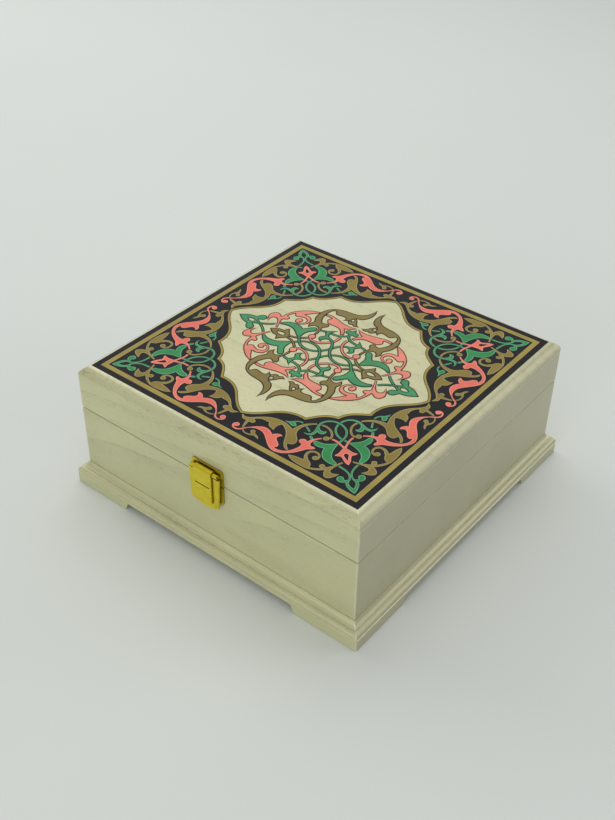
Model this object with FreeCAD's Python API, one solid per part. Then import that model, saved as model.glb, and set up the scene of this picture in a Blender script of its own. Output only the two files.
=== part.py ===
"""Square wooden box with a hinged lid, a moulded plinth on corner feet and a brass flap latch.

Millimetres, +Z up. The origin is on the floor under the middle of the box. X runs along the front, which
carries the latch, and Y runs from the front to the hinge at the back.
"""
import FreeCAD, Part
import os
from FreeCAD import Vector

# Carcass
WIDTH = 250.0  # over the left and right walls
DEPTH = 250.0  # over the front and back walls
HEIGHT = 106.0  # floor to the top of the lid
LID_HEIGHT = 36.0  # top of the lid down to the middle of the seam
SEAM_GAP = 0.4  # open line between the lid's rim and the body's rim
WALL = 10.0  # walls and rails
ARRIS = 0.8  # rounding of the corners and rims

# Top board, which lies over the rails
TOP_BOARD = 9.5
TOP_EDGE_RUN = 7.4  # round-over, measured inwards
TOP_EDGE_DROP = 6.2  # round-over, measured down
TOP_EDGE_BULGE = 1.0  # how far the round-over stands out from a flat bevel
JOINT_CHAMFER = 0.15  # fine line where the board meets the rails

# Bottom board, let into a groove in the walls
BOTTOM_BOARD = 5.0
BOTTOM_RISE = 2.5  # underside above the walls' lower edge
GROOVE_DEPTH = 5.0
GROOVE_PLAY = 0.1  # between the board and each side of its groove

# Plinth moulding, from the wall outwards and down
PLINTH_OUT = 7.5  # reach past the walls
PLINTH_TOP = 18.7  # upper edge on the wall
PLINTH_BAND = 9.8  # height of the plain band with the feet
PLINTH_LIP = 0.5  # flat upper edge
COVE_OUT = 3.4  # reach of the hollow's lower end
COVE_FOOT = 14.3  # height of the hollow's lower end
STEP = 0.6  # fine steps under the hollow and under the round
CURVE_DEPTH = 0.8  # depth of the hollow and swell of the round, off their chords
BAND_CHAMFER = 0.5  # upper and lower edges of the band
PLINTH_CORNER = 2.5  # rounding of the plinth's upright corners
LEDGE = 8.7  # height at which the walls stand inside the plinth
FOOT_LENGTH = 52.0  # from the plinth's corner to the foot's inner end, on the floor
FOOT_RAMP = 3.0  # how much longer the foot is at its top
FOOT_HEIGHT = 7.2  # clear height between the feet

# Hinge along the back
HINGE_END = 4.0  # from the box's side to the hinge's end
KNUCKLES = 21
KNUCKLE_GAP = 0.3  # between neighbouring knuckles
BARREL_RADIUS = 2.3
BARREL_STAND = 0.3  # between the barrel and the back wall
HINGE_PIN_RADIUS = 1.0
LEAF = 0.8  # leaf thickness
LEAF_LIP = 1.5  # wood left inside each leaf's recess
PIN_PLAY = 0.05  # between a pin and its bore

# Hinge screws
SCREWS_PER_LEAF = 6
SCREW_LENGTH = 8.0
SCREW_RADIUS = 0.9
SCREW_HEAD_RADIUS = 1.8
SCREW_SLOT = 0.4  # width and depth of the driver slot
FASTENER_PLAY = 0.05  # between a screw or nail and its hole

# Flap latch in the middle of the front
PLATE = 1.0  # thickness of the two back plates
PLATE_WIDTH = 28.0
PLATE_CORNER = 2.5
PLATE_SETBACK = 0.3  # from the rims to the plates
LATCH_PIN_RISE = 10.0  # pin above the middle of the seam
LID_PLATE_OVER = 3.4  # lid plate above the pin
BODY_PLATE_HEIGHT = 15.4
ROLL_RADIUS = 2.5  # hasp's roll about the pin
ROLL_STAND = 0.3  # between the roll and the lid plate
LATCH_PIN_RADIUS = 0.8
LATCH_PIN_PROUD = 0.4  # past the lid plate's knuckles
PLATE_KNUCKLE_RADIUS = 1.5
PLATE_KNUCKLE_WIDTH = 4.0
HASP_GAP = 0.3  # between the hasp and the lid plate's knuckles
SHEET = 0.8  # raised panel's sheet thickness
PANEL_WIDTH = 15.2  # raised panel
PANEL_DROP = 24.5  # pin down to the raised panel's lower corners
PANEL_RISE = 1.9  # panel in front of the flange
PANEL_SAG = 1.0  # curve of the panel's lower edge
PANEL_EDGE = 0.4  # rounding of the panel's front edges
FLANGE = 1.3  # flange's thickness
FLANGE_TOP_DROP = 2.3  # pin down to the flange's upper edge
FLANGE_TOP_WIDTH = 27.2
FLANGE_FOOT_WIDTH = 24.4
FLANGE_DROP = 27.8  # pin down to the flange's lower corners
FLANGE_SAG = 3.0  # curve of the flange's lower edge
SLOT_WIDTH = 12.8
SLOT_HEIGHT = 0.9
SLOT_DROP = 11.1  # pin down to the slot
TONGUE_WIDTH = 9.0
TONGUE_HEIGHT = 1.0
TONGUE_GAP = 0.4  # between the tongue and the plane of the hasp's flange

# Latch nails
NAIL_RADIUS = 0.6
NAIL_LENGTH = 6.0
NAIL_HEAD_RADIUS = 1.3
NAIL_HEAD = 0.6
NAIL_INSET = 3.0  # from the plate's sides and from its edge away from the pin

# Levels and planes that several pieces share
SEAM = HEIGHT - LID_HEIGHT
BODY_RIM = SEAM - SEAM_GAP / 2
LID_RIM = SEAM + SEAM_GAP / 2
RAIL_TOP = HEIGHT - TOP_BOARD
LEFT, RIGHT = -WIDTH / 2, WIDTH / 2
FRONT, BACK = -DEPTH / 2, DEPTH / 2
HINGE_LENGTH = WIDTH - 2 * HINGE_END
HINGE_AXIS_Y = BACK + BARREL_STAND + BARREL_RADIUS
LEAF_WIDTH = WALL - LEAF_LIP
LATCH_AXIS_Z = SEAM + LATCH_PIN_RISE
LATCH_AXIS_Y = FRONT - PLATE - ROLL_STAND - ROLL_RADIUS
PANEL_FACE_Y = LATCH_AXIS_Y - ROLL_RADIUS
FLANGE_FACE_Y = PANEL_FACE_Y + PANEL_RISE
FLANGE_BACK_Y = FLANGE_FACE_Y + FLANGE
ALONG_X, ALONG_Y, UP = Vector(1, 0, 0), Vector(0, 1, 0), Vector(0, 0, 1)


def block(x_range, y_range, z_range):
    """Box between two values on each axis."""
    low, high = (Vector(*corner) for corner in zip(x_range, y_range, z_range))
    size = high - low
    return Part.makeBox(size.x, size.y, size.z, low)


def solid_from(edges, travel):
    """Closed outline of edges, drawn out along a vector."""
    return Part.Face(Part.Wire(Part.sortEdges(edges)[0])).extrude(travel)


def path(points, place):
    """Edges of an outline of (a, b) points, set in space by place(a, b).

    A point is joined to the next by a straight edge, or by an arc where a third number gives the arc's
    height over its chord, positive to the left of the way the outline runs.
    """
    edges = []
    for start, end in zip(points, points[1:]):
        first, last = place(*start[:2]), place(*end[:2])
        if len(start) == 2:
            edges.append(Part.makeLine(first, last))
            continue
        run, rise = end[0] - start[0], end[1] - start[1]
        lift = start[2] / (run ** 2 + rise ** 2) ** 0.5
        middle = ((start[0] + end[0]) / 2 - rise * lift, (start[1] + end[1]) / 2 + run * lift)
        edges.append(Part.Arc(first, place(*middle), last).toShape())
    return edges


def square_solid(outline):
    """Solid on the box's plan whose four sides follow an outline of (reach past the wall, height) points.

    The outline runs from the top down. It is drawn out along X and along Y, and the two are intersected,
    so its corners are true mitres.
    """
    reach = max(point[0] for point in outline)

    def bar(half, place, travel):
        sides = [path(outline, lambda out, z: place(sign * (half + out), z)) for sign in (-1, 1)]
        ends = []
        for out, z in (outline[0][:2], outline[-1][:2]):
            ends.append(Part.makeLine(place(-half - out, z), place(half + out, z)))
        return solid_from(sides[0] + sides[1] + ends, travel)

    along_x = bar(BACK, lambda y, z: Vector(LEFT - reach, y, z), ALONG_X * (WIDTH + 2 * reach))
    along_y = bar(RIGHT, lambda x, z: Vector(x, FRONT - reach, z), ALONG_Y * (DEPTH + 2 * reach))
    return along_x.common(along_y)


def rounded(shape, radius, wanted):
    """Round the edges of a shape whose bounding box passes a test."""
    return shape.makeFillet(radius, [edge for edge in shape.Edges if wanted(edge.BoundBox)])


def upright(box):
    """True of an edge that stands on end."""
    return box.ZLength > box.XLength + box.YLength


def at_height(box, z):
    """True of an edge that lies level at a height."""
    return abs(box.ZMin - z) < 1e-6 and abs(box.ZMax - z) < 1e-6


def mitred(ring, reach):
    """Front, back, left and right lengths of a square ring, cut apart on its mitres."""
    x, y = RIGHT + reach, BACK + reach
    cut = reach + 2 * WALL
    corners = [(-x, -y), (x, -y), (x, y), (-x, y)]
    inner = [(-x + cut, -y + cut), (x - cut, -y + cut), (x - cut, y - cut), (-x + cut, y - cut)]
    lengths = {}
    for index, side in enumerate(("front", "right", "back", "left")):
        after = (index + 1) % 4
        plan = [corners[index], corners[after], inner[after], inner[index], corners[index]]
        wedge = solid_from(path(plan, lambda px, py: Vector(px, py, 0)), UP * HEIGHT)
        lengths[side] = ring.common(wedge)
    return lengths


def wall_ring(bottom, top, rim):
    """Four walls in one piece between two heights, with their upright edges and their rim rounded."""
    outside = block((LEFT, RIGHT), (FRONT, BACK), (bottom, top))
    outside = rounded(outside, ARRIS, lambda box: upright(box) or at_height(box, rim))
    return outside.cut(block((LEFT + WALL, RIGHT - WALL), (FRONT + WALL, BACK - WALL), (bottom, top)))


def bottom_board_block(play):
    """Bottom board, larger or smaller by a play on every side."""
    edge = WALL - GROOVE_DEPTH - play
    z = LEDGE + BOTTOM_RISE
    heights = (z - play, z + BOTTOM_BOARD + play)
    return block((LEFT + edge, RIGHT - edge), (FRONT + edge, BACK - edge), heights)


def body_walls(cuts):
    """Four body walls, grooved for the bottom board and cut for their fittings."""
    ring = wall_ring(LEDGE, BODY_RIM, BODY_RIM)
    return mitred(ring.cut([bottom_board_block(0.0)] + cuts), 0.0)


def lid_rails(cuts):
    """Four rails under the lid's top board, cut for their fittings."""
    return mitred(wall_ring(LID_RIM, RAIL_TOP, LID_RIM).cut(cuts), 0.0)


def lid_top_board():
    """Board with a convex round-over, eased corners and a fine chamfer at its joint with the rails."""
    outline = [
        (-TOP_EDGE_RUN, HEIGHT, TOP_EDGE_BULGE),
        (0.0, HEIGHT - TOP_EDGE_DROP),
        (0.0, RAIL_TOP + JOINT_CHAMFER),
        (-JOINT_CHAMFER, RAIL_TOP),
    ]
    board = square_solid(outline)
    return rounded(board, ARRIS, lambda box: max(box.XLength, box.YLength) < 2 * TOP_EDGE_RUN)


def plinth_lengths():
    """Four lengths of plinth with a hollow, a round and a band, cut away between the corner feet."""
    outline = [
        (0.0, PLINTH_TOP),
        (PLINTH_LIP, PLINTH_TOP, -CURVE_DEPTH),
        (COVE_OUT, COVE_FOOT),
        (COVE_OUT, COVE_FOOT - STEP),
        (COVE_OUT + STEP, COVE_FOOT - STEP, CURVE_DEPTH),
        (PLINTH_OUT - STEP, PLINTH_BAND + STEP),
        (PLINTH_OUT - STEP, PLINTH_BAND),
        (PLINTH_OUT - BAND_CHAMFER, PLINTH_BAND),
        (PLINTH_OUT, PLINTH_BAND - BAND_CHAMFER),
        (PLINTH_OUT, BAND_CHAMFER),
        (PLINTH_OUT - BAND_CHAMFER, 0.0),
    ]
    reach = PLINTH_OUT
    plan = block((LEFT - reach, RIGHT + reach), (FRONT - reach, BACK + reach), (0.0, PLINTH_TOP))
    ring = square_solid(outline).common(rounded(plan, PLINTH_CORNER, upright))
    ring = ring.cut(block((LEFT, RIGHT), (FRONT, BACK), (LEDGE, PLINTH_TOP)))
    ring = ring.cut(block((LEFT + WALL, RIGHT - WALL), (FRONT + WALL, BACK - WALL), (0.0, LEDGE)))
    for half, place, travel in (
        (RIGHT, lambda a, z: Vector(a, FRONT - reach, z), ALONG_Y * (DEPTH + 2 * reach)),
        (BACK, lambda a, z: Vector(LEFT - reach, a, z), ALONG_X * (WIDTH + 2 * reach)),
    ):
        floor_half = half + reach - FOOT_LENGTH
        gap = [
            (-floor_half, 0.0),
            (-floor_half + FOOT_RAMP, FOOT_HEIGHT),
            (floor_half - FOOT_RAMP, FOOT_HEIGHT),
            (floor_half, 0.0),
            (-floor_half, 0.0),
        ]
        ring = ring.cut(solid_from(path(gap, place), travel))
    return mitred(ring, reach)


def hinge_leaf(own, z_range):
    """Leaf strip with its knuckles: own is 0 or 1, the first of every second knuckle on the leaf."""
    x_range = (LEFT + HINGE_END, RIGHT - HINGE_END)
    leaf = block(x_range, (BACK - LEAF_WIDTH, BACK), z_range)
    pitch = HINGE_LENGTH / KNUCKLES
    for index in range(own, KNUCKLES, 2):
        start = x_range[0] + index * pitch + KNUCKLE_GAP / 2
        end = start + pitch - KNUCKLE_GAP
        barrel = Part.makeCylinder(BARREL_RADIUS, end - start, Vector(start, HINGE_AXIS_Y, SEAM), ALONG_X)
        leaf = leaf.fuse([barrel, block((start, end), (BACK, HINGE_AXIS_Y), z_range)])
    bore = pin_rod(HINGE_PIN_RADIUS + PIN_PLAY, HINGE_LENGTH, HINGE_AXIS_Y, SEAM)
    return leaf.cut(bore).removeSplitter()


def pin_rod(radius, length, y, z):
    """Rod along X, centred on the box's middle."""
    return Part.makeCylinder(radius, length, Vector(-length / 2, y, z), ALONG_X)


def screw(x, rim, way, play, slotted):
    """Countersunk screw with its head flush with a leaf at a rim, driven up (way 1) or down (way -1)."""
    place = Vector(x, BACK - LEAF_WIDTH / 2, rim)
    driven = UP * way
    head_radius, shank_radius = SCREW_HEAD_RADIUS + play, SCREW_RADIUS + play
    head = Part.makeCone(head_radius, shank_radius, SCREW_HEAD_RADIUS - SCREW_RADIUS, place, driven)
    shank = Part.makeCylinder(shank_radius, SCREW_LENGTH + play, place, driven)
    shape = head.fuse(shank).removeSplitter()
    if not slotted:
        return shape
    depth = sorted((rim, rim + way * SCREW_SLOT))
    return shape.cut(block(
        (x - SCREW_HEAD_RADIUS, x + SCREW_HEAD_RADIUS),
        (place.y - SCREW_SLOT / 2, place.y + SCREW_SLOT / 2),
        depth,
    ))


def screws(rim, way, play=0.0, slotted=True):
    """All screws of one leaf, evenly spaced along the hinge."""
    pitch = HINGE_LENGTH / SCREWS_PER_LEAF
    first = LEFT + HINGE_END + pitch / 2
    return [screw(first + index * pitch, rim, way, play, slotted) for index in range(SCREWS_PER_LEAF)]


def plate_sheet(z_range, corner_z):
    """Flat latch plate on the front, rounded at its two corners at one height."""
    sheet = block((-PLATE_WIDTH / 2, PLATE_WIDTH / 2), (FRONT - PLATE, FRONT), z_range)
    return rounded(sheet, PLATE_CORNER, lambda box: box.YLength > box.XLength and at_height(box, corner_z))


def latch_lid_plate():
    """Lid plate with a rolled knuckle each side of the hasp's roll."""
    top = LATCH_AXIS_Z + LID_PLATE_OVER
    plate = plate_sheet((LID_RIM + PLATE_SETBACK, top), top)
    inner = PANEL_WIDTH / 2 + HASP_GAP
    for x in (inner, -inner - PLATE_KNUCKLE_WIDTH):
        ends = (x, x + PLATE_KNUCKLE_WIDTH)
        barrel = Part.makeCylinder(
            PLATE_KNUCKLE_RADIUS, PLATE_KNUCKLE_WIDTH, Vector(x, LATCH_AXIS_Y, LATCH_AXIS_Z), ALONG_X
        )
        under = (LATCH_AXIS_Z - PLATE_KNUCKLE_RADIUS, LATCH_AXIS_Z - PLATE_KNUCKLE_RADIUS + PLATE)
        plate = plate.fuse([barrel, block(ends, (LATCH_AXIS_Y, FRONT - PLATE), under)])
    bore = pin_rod(LATCH_PIN_RADIUS + PIN_PLAY, PLATE_WIDTH, LATCH_AXIS_Y, LATCH_AXIS_Z)
    return plate.cut(bore).removeSplitter()


def latch_body_plate():
    """Body plate with a keeper tongue that stands behind the hasp's slot."""
    top = BODY_RIM - PLATE_SETBACK
    bottom = top - BODY_PLATE_HEIGHT
    tongue_z = LATCH_AXIS_Z - SLOT_DROP
    tongue = block(
        (-TONGUE_WIDTH / 2, TONGUE_WIDTH / 2),
        (FLANGE_BACK_Y + TONGUE_GAP, FRONT - PLATE),
        (tongue_z - TONGUE_HEIGHT / 2, tongue_z + TONGUE_HEIGHT / 2),
    )
    return plate_sheet((bottom, top), bottom).fuse(tongue).removeSplitter()


def latch_hasp():
    """Hasp: a flange with a raised hollow panel that rolls over the pin at its top, slotted across."""
    flange_top = LATCH_AXIS_Z - FLANGE_TOP_DROP
    corner_z = LATCH_AXIS_Z - FLANGE_DROP
    outline = [
        (-FLANGE_TOP_WIDTH / 2, flange_top),
        (-FLANGE_FOOT_WIDTH / 2, corner_z, -FLANGE_SAG),
        (FLANGE_FOOT_WIDTH / 2, corner_z),
        (FLANGE_TOP_WIDTH / 2, flange_top),
        (-FLANGE_TOP_WIDTH / 2, flange_top),
    ]
    flange = solid_from(path(outline, lambda x, z: Vector(x, FLANGE_FACE_Y, z)), ALONG_Y * FLANGE)
    half = PANEL_WIDTH / 2
    panel_foot = LATCH_AXIS_Z - PANEL_DROP
    outline = [
        (-half, LATCH_AXIS_Z),
        (-half, panel_foot, -PANEL_SAG),
        (half, panel_foot),
        (half, LATCH_AXIS_Z),
        (-half, LATCH_AXIS_Z),
    ]
    deep = FLANGE_BACK_Y - PANEL_FACE_Y
    panel = solid_from(path(outline, lambda x, z: Vector(x, PANEL_FACE_Y, z)), ALONG_Y * deep)
    in_front = PANEL_FACE_Y + PANEL_EDGE / 2
    panel = rounded(panel, PANEL_EDGE, lambda box: box.YMax < in_front and box.ZMin < flange_top)
    roll = pin_rod(ROLL_RADIUS, PANEL_WIDTH, LATCH_AXIS_Y, LATCH_AXIS_Z)
    hasp = panel.fuse(roll).removeSplitter()
    hollow = block(
        (-half + SHEET, half - SHEET),
        (PANEL_FACE_Y + SHEET, FLANGE_BACK_Y),
        (panel_foot + SHEET, LATCH_AXIS_Z - ROLL_RADIUS),
    )
    slot_z = LATCH_AXIS_Z - SLOT_DROP
    slot = block(
        (-SLOT_WIDTH / 2, SLOT_WIDTH / 2),
        (PANEL_FACE_Y, PANEL_FACE_Y + SHEET),
        (slot_z - SLOT_HEIGHT / 2, slot_z + SLOT_HEIGHT / 2),
    )
    bore = pin_rod(LATCH_PIN_RADIUS + PIN_PLAY, PANEL_WIDTH, LATCH_AXIS_Y, LATCH_AXIS_Z)
    return hasp.fuse(flange).cut([hollow, slot, bore]).removeSplitter()


def latch_pin():
    """Pin through the roll and both knuckles of the lid plate."""
    half = PANEL_WIDTH / 2 + HASP_GAP + PLATE_KNUCKLE_WIDTH + LATCH_PIN_PROUD
    return pin_rod(LATCH_PIN_RADIUS, 2 * half, LATCH_AXIS_Y, LATCH_AXIS_Z)


def nail_pair(z, play=0.0):
    """Two round-headed nails that hold a latch plate to the wood."""
    nails = []
    for x in (NAIL_INSET - PLATE_WIDTH / 2, PLATE_WIDTH / 2 - NAIL_INSET):
        place = Vector(x, FRONT - PLATE, z)
        shank = Part.makeCylinder(NAIL_RADIUS + play, NAIL_LENGTH + play, place, ALONG_Y)
        head = Part.makeCylinder(NAIL_HEAD_RADIUS, NAIL_HEAD, place, ALONG_Y * -1)
        head = rounded(head, NAIL_HEAD / 2, lambda box: abs(box.YMax - (FRONT - PLATE - NAIL_HEAD)) < 1e-6)
        nails.append(shank.fuse(head).removeSplitter())
    return nails


def build():
    """All pieces of the box by node name."""
    pieces = {
        "bottom_board": bottom_board_block(-GROOVE_PLAY),
        "lid_top_board": lid_top_board(),
        "hinge_pin": pin_rod(HINGE_PIN_RADIUS, HINGE_LENGTH, HINGE_AXIS_Y, SEAM),
        "latch_hasp": latch_hasp(),
        "latch_pin": latch_pin(),
    }
    pieces.update({f"plinth_{side}": length for side, length in plinth_lengths().items()})

    body_nail_z = BODY_RIM - PLATE_SETBACK - BODY_PLATE_HEIGHT + NAIL_INSET
    lid_nail_z = LID_RIM + PLATE_SETBACK + NAIL_INSET
    body_leaf_z, lid_leaf_z = (BODY_RIM - LEAF, BODY_RIM), (LID_RIM, LID_RIM + LEAF)
    halves = (
        ("body", "wall", body_walls, 0, BODY_RIM, body_leaf_z, -1, latch_body_plate(), body_nail_z),
        ("lid", "rail", lid_rails, 1, LID_RIM, lid_leaf_z, 1, latch_lid_plate(), lid_nail_z),
    )
    for half, board, boards, own, rim, leaf_z, way, plate, nail_z in halves:
        recess = block((LEFT + HINGE_END, RIGHT - HINGE_END), (BACK - LEAF_WIDTH, BACK), leaf_z)
        screw_holes = screws(rim, way, FASTENER_PLAY, slotted=False)
        nail_holes = nail_pair(nail_z, FASTENER_PLAY)
        for side, wood in boards([recess] + screw_holes + nail_holes).items():
            pieces[f"{half}_{side}_{board}"] = wood
        pieces[f"hinge_{half}_leaf"] = hinge_leaf(own, leaf_z).cut(screw_holes)
        pieces[f"hinge_{half}_screws"] = Part.makeCompound(screws(rim, way))
        pieces[f"latch_{half}_plate"] = plate.cut(nail_holes)
        pieces[f"latch_{half}_nails"] = Part.makeCompound(nail_pair(nail_z))
    return pieces


os.makedirs("parts", exist_ok=True)
for node, shape in build().items():
    shape.exportStep(f"parts/{node}.step")
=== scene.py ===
import math

import bpy
import numpy as np
from mathutils import Matrix, Vector
from mathutils.geometry import tessellate_polygon


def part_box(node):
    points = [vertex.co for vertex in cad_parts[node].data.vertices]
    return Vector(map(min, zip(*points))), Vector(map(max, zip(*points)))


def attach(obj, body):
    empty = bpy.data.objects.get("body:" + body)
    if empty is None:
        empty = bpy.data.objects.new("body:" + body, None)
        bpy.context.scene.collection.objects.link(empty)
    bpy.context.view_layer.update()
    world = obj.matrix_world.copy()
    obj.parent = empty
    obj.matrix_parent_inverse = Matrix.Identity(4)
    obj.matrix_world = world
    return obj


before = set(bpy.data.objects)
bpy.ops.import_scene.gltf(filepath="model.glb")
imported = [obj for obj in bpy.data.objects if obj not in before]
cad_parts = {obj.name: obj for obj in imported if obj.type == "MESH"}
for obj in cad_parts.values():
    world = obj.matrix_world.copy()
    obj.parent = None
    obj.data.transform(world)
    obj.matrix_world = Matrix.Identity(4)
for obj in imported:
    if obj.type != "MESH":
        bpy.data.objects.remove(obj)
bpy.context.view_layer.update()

MM = 0.001
TINY = 1e-9
SIXTH_TURN = math.pi / 3

# The camera that took the photograph, fitted to the box's edges: place in metres, turns in degrees,
# focal length and image height in pixels, sensor in millimetres
CAMERA_PLACE = (0.3937, -0.5188, 0.5560)
CAMERA_YAW = 38.22
CAMERA_PITCH = 37.63
CAMERA_ROLL = 0.94
CAMERA_FOCAL_PIXELS = 1094.3
IMAGE_HEIGHT = 820
CAMERA_SENSOR = 36.0
CAMERA_NEAR = 0.01

# The studio: each light has a name, a place and a width in metres and a power in watts
LIGHTS = [
    ("overhead", (0.0, 0.6, 1.6), 1.2, 4.0),
    ("left", (-1.8, 0.0, 0.9), 1.6, 8.4),
    ("front", (0.2, -1.9, 0.7), 1.4, 8.2),
    ("front_low", (0.3, -1.7, 0.3), 0.7, 2.0),
    ("front_right", (0.7, -0.7, 1.7), 1.6, 5.0),
    ("back_left", (-0.9, 0.85, 1.35), 2.0, 7.8),
    ("back_right", (1.25, 1.2, 0.7), 1.0, 4.2),
]
LIGHT_TARGET = (0, 0, 0.05)
EVEN_FILL = 0.32
FLOOR_SIZE = 12
FLOOR_ROUGHNESS = 0.9

# Colours as they look on screen, red green blue from 0 to 255
PAINT = (204, 203, 160)
# pale wear on the edges, with a painted highlight there and round the lid's top
PAINT_WORN_AND_HIGHLIT = (234, 231, 196)
PAINT_PORE = (142, 130, 92)
# painted shade: the paint made greyer on faces that look left or right
PAINT_SHADED_SIDES = (190, 186, 157)
# painted shade beside the seam on the sides
SEAM_SHADE_BROWN = (112, 102, 76)
BARE_WOOD = (196, 168, 122)
LATCH_BRASS = (230, 211, 52)
# painted shade in the metal's creases
METAL_CREASE_SHADE_BROWN = (112, 76, 14)
HINGE_BRASS = (205, 170, 80)
FASTENER_BRASS = (200, 165, 75)
PIN_STEEL = (150, 126, 82)
FLOOR = (224, 229, 224)
PRINT_BLACK = (28, 27, 30)
OUTLINE_GOLD = (50, 40, 20)
OUTLINE_GREEN = (26, 54, 38)
OUTLINE_PINK = (98, 48, 40)
PRINT_FRAME = (168, 149, 72)
PRINT_GOLD = (146, 128, 64)
PRINT_GOLD_EDGE = (172, 158, 104)
PRINT_GREEN = (58, 146, 84)
PRINT_GREEN_EDGE = (112, 182, 140)
PRINT_PINK = (242, 122, 104)
PRINT_PINK_EDGE = (250, 160, 140)
MEDALLION_GOLD = (140, 124, 72)
MEDALLION_GREEN = (76, 154, 104)
MEDALLION_PINK = (240, 148, 126)

# Growth rings under the paint: tilt in degrees, and shifts in metres that set them off the middle
FIGURE_TILT = 5.0
FIGURE_SCALE = 24.0
FIGURE_WAVER = 1.6
FIGURE_ASIDE = 0.085
FIGURE_UP = -0.035

# Scales of the drawn-out textures, along and across their direction
STREAK_GRAIN = (6, 70)
PORE_GRAIN = (230, 1300)
BARE_GRAIN = (10, 320)
RUBBED_LINES = (300, 4000)

# Scales of the textures that are the same in every direction
PAINT_CLOUD = 16.0
PAINT_WEAR = 300.0
METAL_PATCH = 160.0
INK_CLOUD = 55.0
INK_SPECKLE = 1400.0
FLOOR_CLOUD = 3.0

# Values between which a mark, a painted shade or a painted highlight goes from nothing to full strength
LATE_RINGS = (0.45, 1.0)
LATE_STREAKS = (0.35, 0.7)
PORE_DASHES = (0.57, 0.67)
CLOUDS = (0.3, 0.7)
WORN_AND_HIGHLIT_PATCHES = (0.15, 0.55)
EDGE_TURN = (0.02, 0.2)
# how far a face must look left or right to take the painted shade on the sides
SIDE_TURN = (0.45, 0.98)
# how deep a crease must be for its painted shade
CREASE_DEPTH = (0.12, 0.45)
BARE_STREAKS = (0.35, 0.75)
DULL_PATCHES = (0.35, 0.7)
FINE_MARKS = (0.5, 0.75)

# Tones, as factors of a finish's own colour
PAINT_TONES = (0.975, 1.02)
LATE_TONE = 0.86
# painted shade in the paint's creases
PAINT_CREASE_SHADE_TONE = 0.68
BARE_TONES = (1.06, 0.84)
METAL_TONES = (1.0, 0.92)
LINE_TONE = 0.82
INK_TONES = (0.94, 1.04)
SPECKLE_TONE = 0.84
FLOOR_TONES = (0.98, 1.0)

# How strongly marks, painted shade and painted highlights cover the colour under them, change the roughness
# or stand out
PAINT_CREASE_SHADE_STRENGTH = 0.45
WORN_AND_HIGHLIT_STRENGTH = 0.85
LINE_STRENGTH = 0.4
METAL_CREASE_SHADE_STRENGTH = 0.95
SPECKLE_STRENGTH = 0.35
WORN_AND_HIGHLIT_POLISH = 0.12
METAL_CREASE_DULLNESS = 0.25
LATE_RELIEF = 0.5
PORES_ELSEWHERE = 0.3

# How far marks and painted light reach: pale wear and painted highlight from an edge, painted shade into a
# crease, a painted highlight down from the lid's top and painted shade away from the seam
EDGE_WEAR_AND_HIGHLIGHT = 1.5 * MM
METAL_CREASE_SHADE_REACH = 2.0 * MM
PAINT_CREASE_SHADE_REACH = 1.4 * MM
RIM_HIGHLIGHT_START = (0.02 * MM, 0.08 * MM)
RIM_HIGHLIGHT_END = (0.5 * MM, 1.3 * MM)
SEAM_SHADE_REACH = (0.4 * MM, 0.8 * MM)

# Heights in the frame from which the painted highlight round the lid's top, the painted shade at the seam
# and the print are measured
LID_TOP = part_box("lid_top_board")[1][2]
SEAM_HEIGHT = (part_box("body_front_wall")[1][2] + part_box("lid_front_rail")[0][2]) / 2

# Depth of the bumps in each finish
PAINT_RELIEF = 0.06 * MM
WOOD_RELIEF = 0.15 * MM
METAL_RELIEF = 0.008 * MM
INK_RELIEF = 0.02 * MM

# Colour, roughness and metallic share of each metal
METALS = {
    "latch_brass": (LATCH_BRASS, 0.30, 0.7),
    "hinge_brass": (HINGE_BRASS, 0.32, 1.0),
    "fastener_brass": (FASTENER_BRASS, 0.28, 1.0),
    "pin_steel": (PIN_STEEL, 0.25, 1.0),
}

# The print on the lid, in millimetres: its plan is from the lid's middle, its heights from the lid's top
PRINT_HALF = 117.6
FRAME_INNER = 109.1
FRAME_OUTER = 112.9
FRAME_EDGE = 0.5
MEDALLION_LINE = 1.9
MEDALLION_OUTLINE = 0.45
CURVE_STEP = 0.6
BORDER_EDGE = 0.6
CENTRE_OUTLINE = 0.85
INK_ROOT = -0.02
GROUND_TOP = 0.05
LINE_TOP = 0.12
EDGE_TOP = 0.10
FILL_TOP = 0.14
LEVEL_RISE = 0.10
HALO = 0.5
HALO_DROP = 0.02
LAYER_STEP = 0.003
LAYERS = 8

# An inset takes at most this share of a thin place, and drops points that end up nearer to another edge
THIN_SHARE = 0.3
KEPT_SHARE = 0.9
FAR_AWAY = 1e3
JUST_AHEAD = 1e-3

# A strand's end is half an ellipse: its length to its half width, and the angles of its sections
END_ROUNDNESS = 0.35
END_ANGLES = (0.6, 1.1, 1.5)

# Copies of a motif: whether x and y are turned over, and whether they change places
EIGHT_WAYS = [(right, back, swap) for swap in (False, True) for right in (1, -1) for back in (1, -1)]
FOUR_WAYS = EIGHT_WAYS[:4]


def colour(rgb):
    """Linear light values, with alpha, of a screen colour."""
    def linear(channel):
        share = channel / 255
        return share / 12.92 if share <= 0.04045 else ((share + 0.055) / 1.055) ** 2.4
    return (*[linear(channel) for channel in rgb], 1.0)


def shade(rgb, factor):
    """The same screen colour made darker or lighter."""
    return tuple(min(255, channel * factor) for channel in rgb)


def put(tree, socket, value):
    """Links a node's output to a socket, or sets the socket's own value."""
    if isinstance(value, bpy.types.NodeSocket):
        tree.links.new(value, socket)
    else:
        socket.default_value = value


def set_inputs(tree, made, **inputs):
    """Sets or links a node's inputs; underscores in their names stand for spaces."""
    for name, value in inputs.items():
        put(tree, made.inputs[name.replace("_", " ")], value)


def node(tree, kind, settings=None, **inputs):
    """A shader node with its settings and inputs."""
    made = tree.nodes.new("ShaderNode" + kind)
    for name, value in (settings or {}).items():
        setattr(made, name, value)
    set_inputs(tree, made, **inputs)
    return made


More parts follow.
